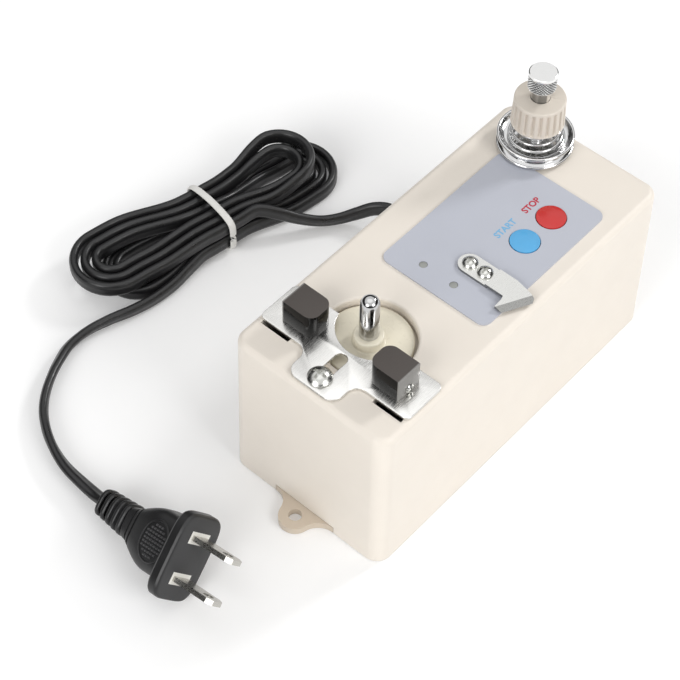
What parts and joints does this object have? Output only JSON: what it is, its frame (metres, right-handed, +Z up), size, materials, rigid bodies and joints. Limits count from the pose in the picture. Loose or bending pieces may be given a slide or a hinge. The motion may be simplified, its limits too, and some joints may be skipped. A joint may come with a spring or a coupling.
{
  "type": "electric bobbin winder",
  "caption": "Mains electric bobbin winder: upright motor spindle with a light-beam full stop, start and stop buttons, thread cutter and thread tension on a moulded box with a tied cord.",
  "frame": {"origin": "on the floor under the middle of the body, the cord left out", "axes": "+Z up, +Y along the body from the spindle end to the tension end, +X to the side the cutter's blade points to"},
  "size_m": [0.1484, 0.1917, 0.0883],
  "materials": {
    "body_plastic": "fine moulded texture",
    "base_plastic": "moulded",
    "panel_film": "matt printed film",
    "blue_plastic": "semi-gloss",
    "red_plastic": "semi-gloss",
    "lamp_lens": "tinted lens",
    "bright_steel": "polished plating",
    "satin_steel": "satin",
    "plate_steel": "smooth white coat",
    "screw_steel": "zinc plated",
    "smoke_plastic": "dark infrared-pass plastic",
    "led_epoxy": "clear epoxy",
    "sensor_epoxy": "dark epoxy",
    "ivory_plastic": "semi-gloss",
    "knob_plastic": "moulded",
    "motor_steel": "plated",
    "magnet": "sintered",
    "motor_cap": "moulded",
    "bush_bronze": "sintered",
    "copper": "enamelled wire",
    "board": "solder mask",
    "switch_black": "moulded",
    "core_iron": "varnished laminations",
    "winding_tape": "tape",
    "capacitor_sleeve": "shrink sleeve",
    "terminal_green": "moulded",
    "cord_black": "soft vinyl",
    "tie_white": "paper-covered wire",
    "blade_nickel": "nickel plated",
    "insulator_white": "moulded"
  },
  "bodies": {
    "body": {"housing": "body_plastic", "base_plate": "base_plastic", "base_screws": "screw_steel", "control_panel": "panel_film", "push_switches": "switch_black", "power_lamp": "lamp_lens", "winding_lamp": "lamp_lens", "thread_cutter": "satin_steel", "cutter_screws": "screw_steel", "plate_screw": "screw_steel", "motor_can": "motor_steel", "motor_magnets": "magnet", "motor_end_cap": "motor_cap", "motor_bushes": "bush_bronze", "motor_bracket": "motor_steel", "motor_screws": "screw_steel", "bracket_screws": "screw_steel", "tension_post": "bright_steel", "post_nut": "screw_steel", "lower_tension_disc": "bright_steel", "tension_spring": "bright_steel", "knurled_head": "bright_steel", "control_board": "board", "board_screws": "screw_steel", "power_board": "board", "power_board_screws": "screw_steel", "transformer_core": "core_iron", "transformer_winding": "winding_tape", "smoothing_capacitor": "capacitor_sleeve", "terminal_block": "terminal_green", "mains_wires": "cord_black", "strain_relief": "cord_black", "cord_lead": "cord_black", "cord_hank": "cord_black", "cord_tail": "cord_black", "cord_tie": "tie_white", "plug_body": "cord_black", "plug_blades": "blade_nickel", "plug_insulators": "insulator_white"},
    "spindle": {"bobbin_seat": "ivory_plastic", "spindle_pin": "satin_steel", "motor_rotor": "copper"},
    "sensor_carriage": {"sensor_plate": "plate_steel", "emitter_block": "smoke_plastic", "receiver_block": "smoke_plastic", "emitter_led": "led_epoxy", "receiver_sensor": "sensor_epoxy", "block_screws": "screw_steel"},
    "start_button": {"start_button": "blue_plastic"},
    "stop_button": {"stop_button": "red_plastic"},
    "spring_washer": {"spring_washer": "screw_steel"},
    "tension_knob": {"tension_knob": "knob_plastic"},
    "upper_disc": {"upper_tension_disc": "bright_steel"}
  },
  "joints": [
    {"name": "spindle_spin", "type": "hinge", "parent": "body", "child": "spindle", "pos_m": [0, -0.037, 0.055], "axis": [0, 0, 1], "continuous": true},
    {"name": "sensor_slide", "type": "slide", "parent": "body", "child": "sensor_carriage", "axis": [0, -1, 0], "range_m": [0, 0.004]},
    {"name": "start_press", "type": "slide", "parent": "body", "child": "start_button", "axis": [0, 0, -1], "range_m": [0, 0.0005], "stiffness_N_per_m": 1500},
    {"name": "stop_press", "type": "slide", "parent": "body", "child": "stop_button", "axis": [0, 0, -1], "range_m": [0, 0.0005], "stiffness_N_per_m": 1500},
    {"name": "tension_travel", "type": "slide", "parent": "body", "child": "spring_washer", "axis": [0, 0, 1], "range_m": [-0.0021, 0.0021], "deforming": ["tension_spring"]},
    {"name": "tension_turn", "type": "hinge", "parent": "spring_washer", "child": "tension_knob", "pos_m": [-0.0113, 0.0525, 0.072], "axis": [0, 0, 1], "range_deg": [-1080, 1080]},
    {"name": "disc_lift", "type": "slide", "parent": "body", "child": "upper_disc", "axis": [0, 0, 1], "range_m": [0, 0.0004], "stiffness_N_per_m": 600, "deforming": ["tension_spring"]}
  ],
  "couplings": [
    {"joint": "tension_travel", "follows": "tension_turn", "m_per_rad": 0.0001114}
  ]
}
